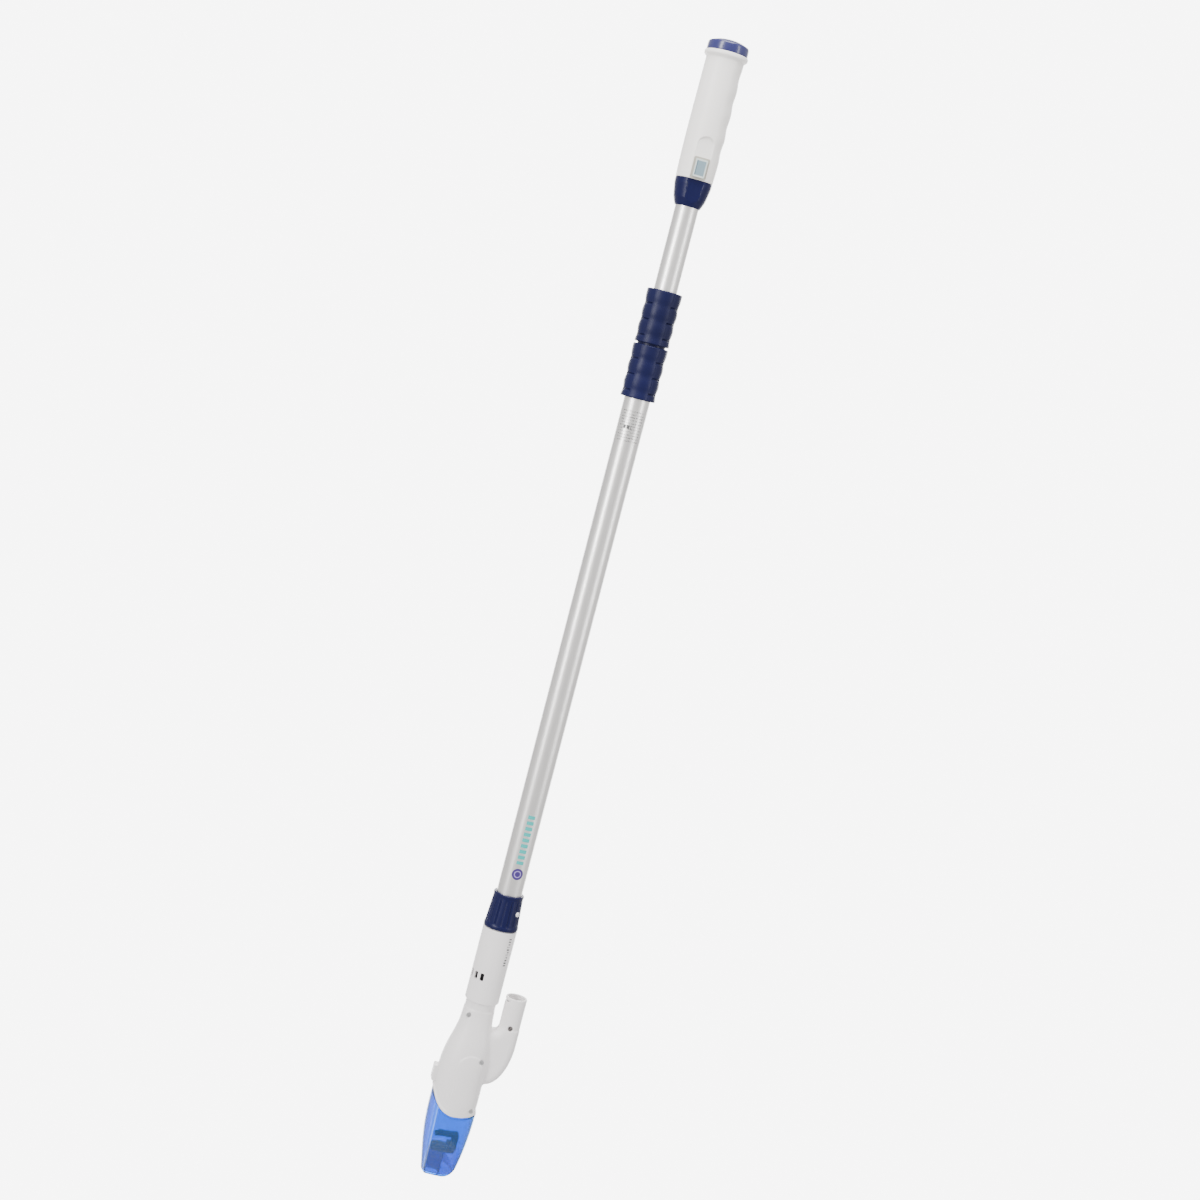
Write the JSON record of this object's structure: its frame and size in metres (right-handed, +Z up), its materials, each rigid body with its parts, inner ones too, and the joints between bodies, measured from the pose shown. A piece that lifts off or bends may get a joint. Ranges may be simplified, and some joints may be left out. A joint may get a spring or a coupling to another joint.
{
  "type": "telescopic battery pool vacuum",
  "caption": "Hand-held stick vacuum for pools and spas: battery handle, twist-lock telescopic pole, pump head with side outlet and clear suction nozzle.",
  "frame": {"origin": "on the pole's axis, in the plane of the nozzle's lip", "axes": "+Z up the pole towards the handle; +X from the latch side towards the outlet tube; the switch faces -Y"},
  "size_m": [0.0817, 0.05, 1.2488],
  "materials": {
    "white_plastic": "satin moulded",
    "handle_plastic": "satin moulded",
    "navy_plastic": "satin moulded",
    "cap_plastic": "satin moulded",
    "clear_blue": "clear tinted",
    "dark_valve": "moulded",
    "clear_silicone": "clear silicone",
    "seal_rubber": "matte",
    "anodised": "satin anodised",
    "black_plastic": "moulded",
    "rocker_plastic": "moulded",
    "spring_steel": "drawn",
    "contact_brass": "plain",
    "motor_steel": "plated",
    "cell_sleeve": "shrink sleeve",
    "natural_plastic": "moulded"
  },
  "bodies": {
    "stick": {"lower_tube": "anodised", "grip_sleeve": "navy_plastic", "collet": "natural_plastic", "pole_plug": "black_plastic", "contact_pins": "contact_brass", "button_spring": "spring_steel", "head_collar": "navy_plastic", "neck_sleeve": "white_plastic", "neck_oring": "seal_rubber", "head_socket": "black_plastic", "motor_leads": "black_plastic", "motor": "motor_steel", "motor_cup": "black_plastic", "shaft_seal": "seal_rubber", "shaft_bush": "contact_brass", "pump_housing": "natural_plastic", "body_half_near": "white_plastic", "body_half_far": "white_plastic", "body_screws": "spring_steel", "latch_spring": "spring_steel", "power_lead": "black_plastic"},
    "pole": {"upper_tube": "anodised", "guide_bush": "natural_plastic", "handle_collar": "navy_plastic", "collar_screw": "spring_steel", "handle_grip": "handle_plastic", "cap_gasket": "seal_rubber", "switch_body": "black_plastic", "switch_boot": "clear_silicone"},
    "lock_nut": {"lock_nut": "navy_plastic"},
    "rocker": {"switch_rocker": "rocker_plastic"},
    "cap": {"battery_cap": "cap_plastic"},
    "battery_pack": {"battery_holder": "black_plastic", "battery_cells": "cell_sleeve", "contact_plates": "spring_steel", "contact_springs": "spring_steel"},
    "snap_button": {"snap_button": "white_plastic"},
    "latch": {"latch_button": "white_plastic"},
    "rotor": {"drive_shaft": "spring_steel", "impeller": "natural_plastic"},
    "nozzle": {"nozzle": "clear_blue", "intake_chute": "clear_blue", "valve_cage": "dark_valve", "flap_pin": "spring_steel", "nozzle_seal": "seal_rubber", "debris_screen": "black_plastic"},
    "flap": {"flap_valve": "dark_valve"}
  },
  "joints": [
    {"name": "pole_slide", "type": "slide", "parent": "stick", "child": "pole", "axis": [0, 0, 1], "range_m": [-0.08, 0.34], "deforming": ["power_lead"]},
    {"name": "lock_turn", "type": "hinge", "parent": "stick", "child": "lock_nut", "pos_m": [0, 0, 0.957], "axis": [0, 0, 1], "range_deg": [0, 90]},
    {"name": "switch_rock", "type": "hinge", "parent": "pole", "child": "rocker", "pos_m": [0, -0.0145, 1.1142], "axis": [1, 0, 0], "range_deg": [0, 16]},
    {"name": "cap_lift", "type": "slide", "parent": "pole", "child": "cap", "axis": [0, 0, 1], "range_m": [0, 0.26]},
    {"name": "battery_lift", "type": "slide", "parent": "pole", "child": "battery_pack", "axis": [0, 0, 1], "range_m": [0, 0.1196]},
    {"name": "button_press", "type": "slide", "parent": "stick", "child": "snap_button", "axis": [-0.7373, 0.6756, 0], "range_m": [0, 0.0035], "stiffness_N_per_m": 1500, "springref_m": -0.002, "deforming": ["button_spring"]},
    {"name": "latch_press", "type": "slide", "parent": "stick", "child": "latch", "axis": [1, 0, 0], "range_m": [0, 0.0025], "stiffness_N_per_m": 1500, "springref_m": -0.002, "deforming": ["latch_spring"]},
    {"name": "nozzle_pull", "type": "slide", "parent": "stick", "child": "nozzle", "axis": [0, 0, -1], "range_m": [0, 0.08]},
    {"name": "flap_swing", "type": "hinge", "parent": "nozzle", "child": "flap", "pos_m": [0.0044, 0, 0.0329], "axis": [0, 1, 0], "range_deg": [0, 28]},
    {"name": "rotor_spin", "type": "hinge", "parent": "stick", "child": "rotor", "pos_m": [0, 0, 0.15], "axis": [0, 0, 1], "continuous": true}
  ],
  "couplings": [
    {"joint": "battery_lift", "follows": "cap_lift", "ratio": 0.46}
  ]
}
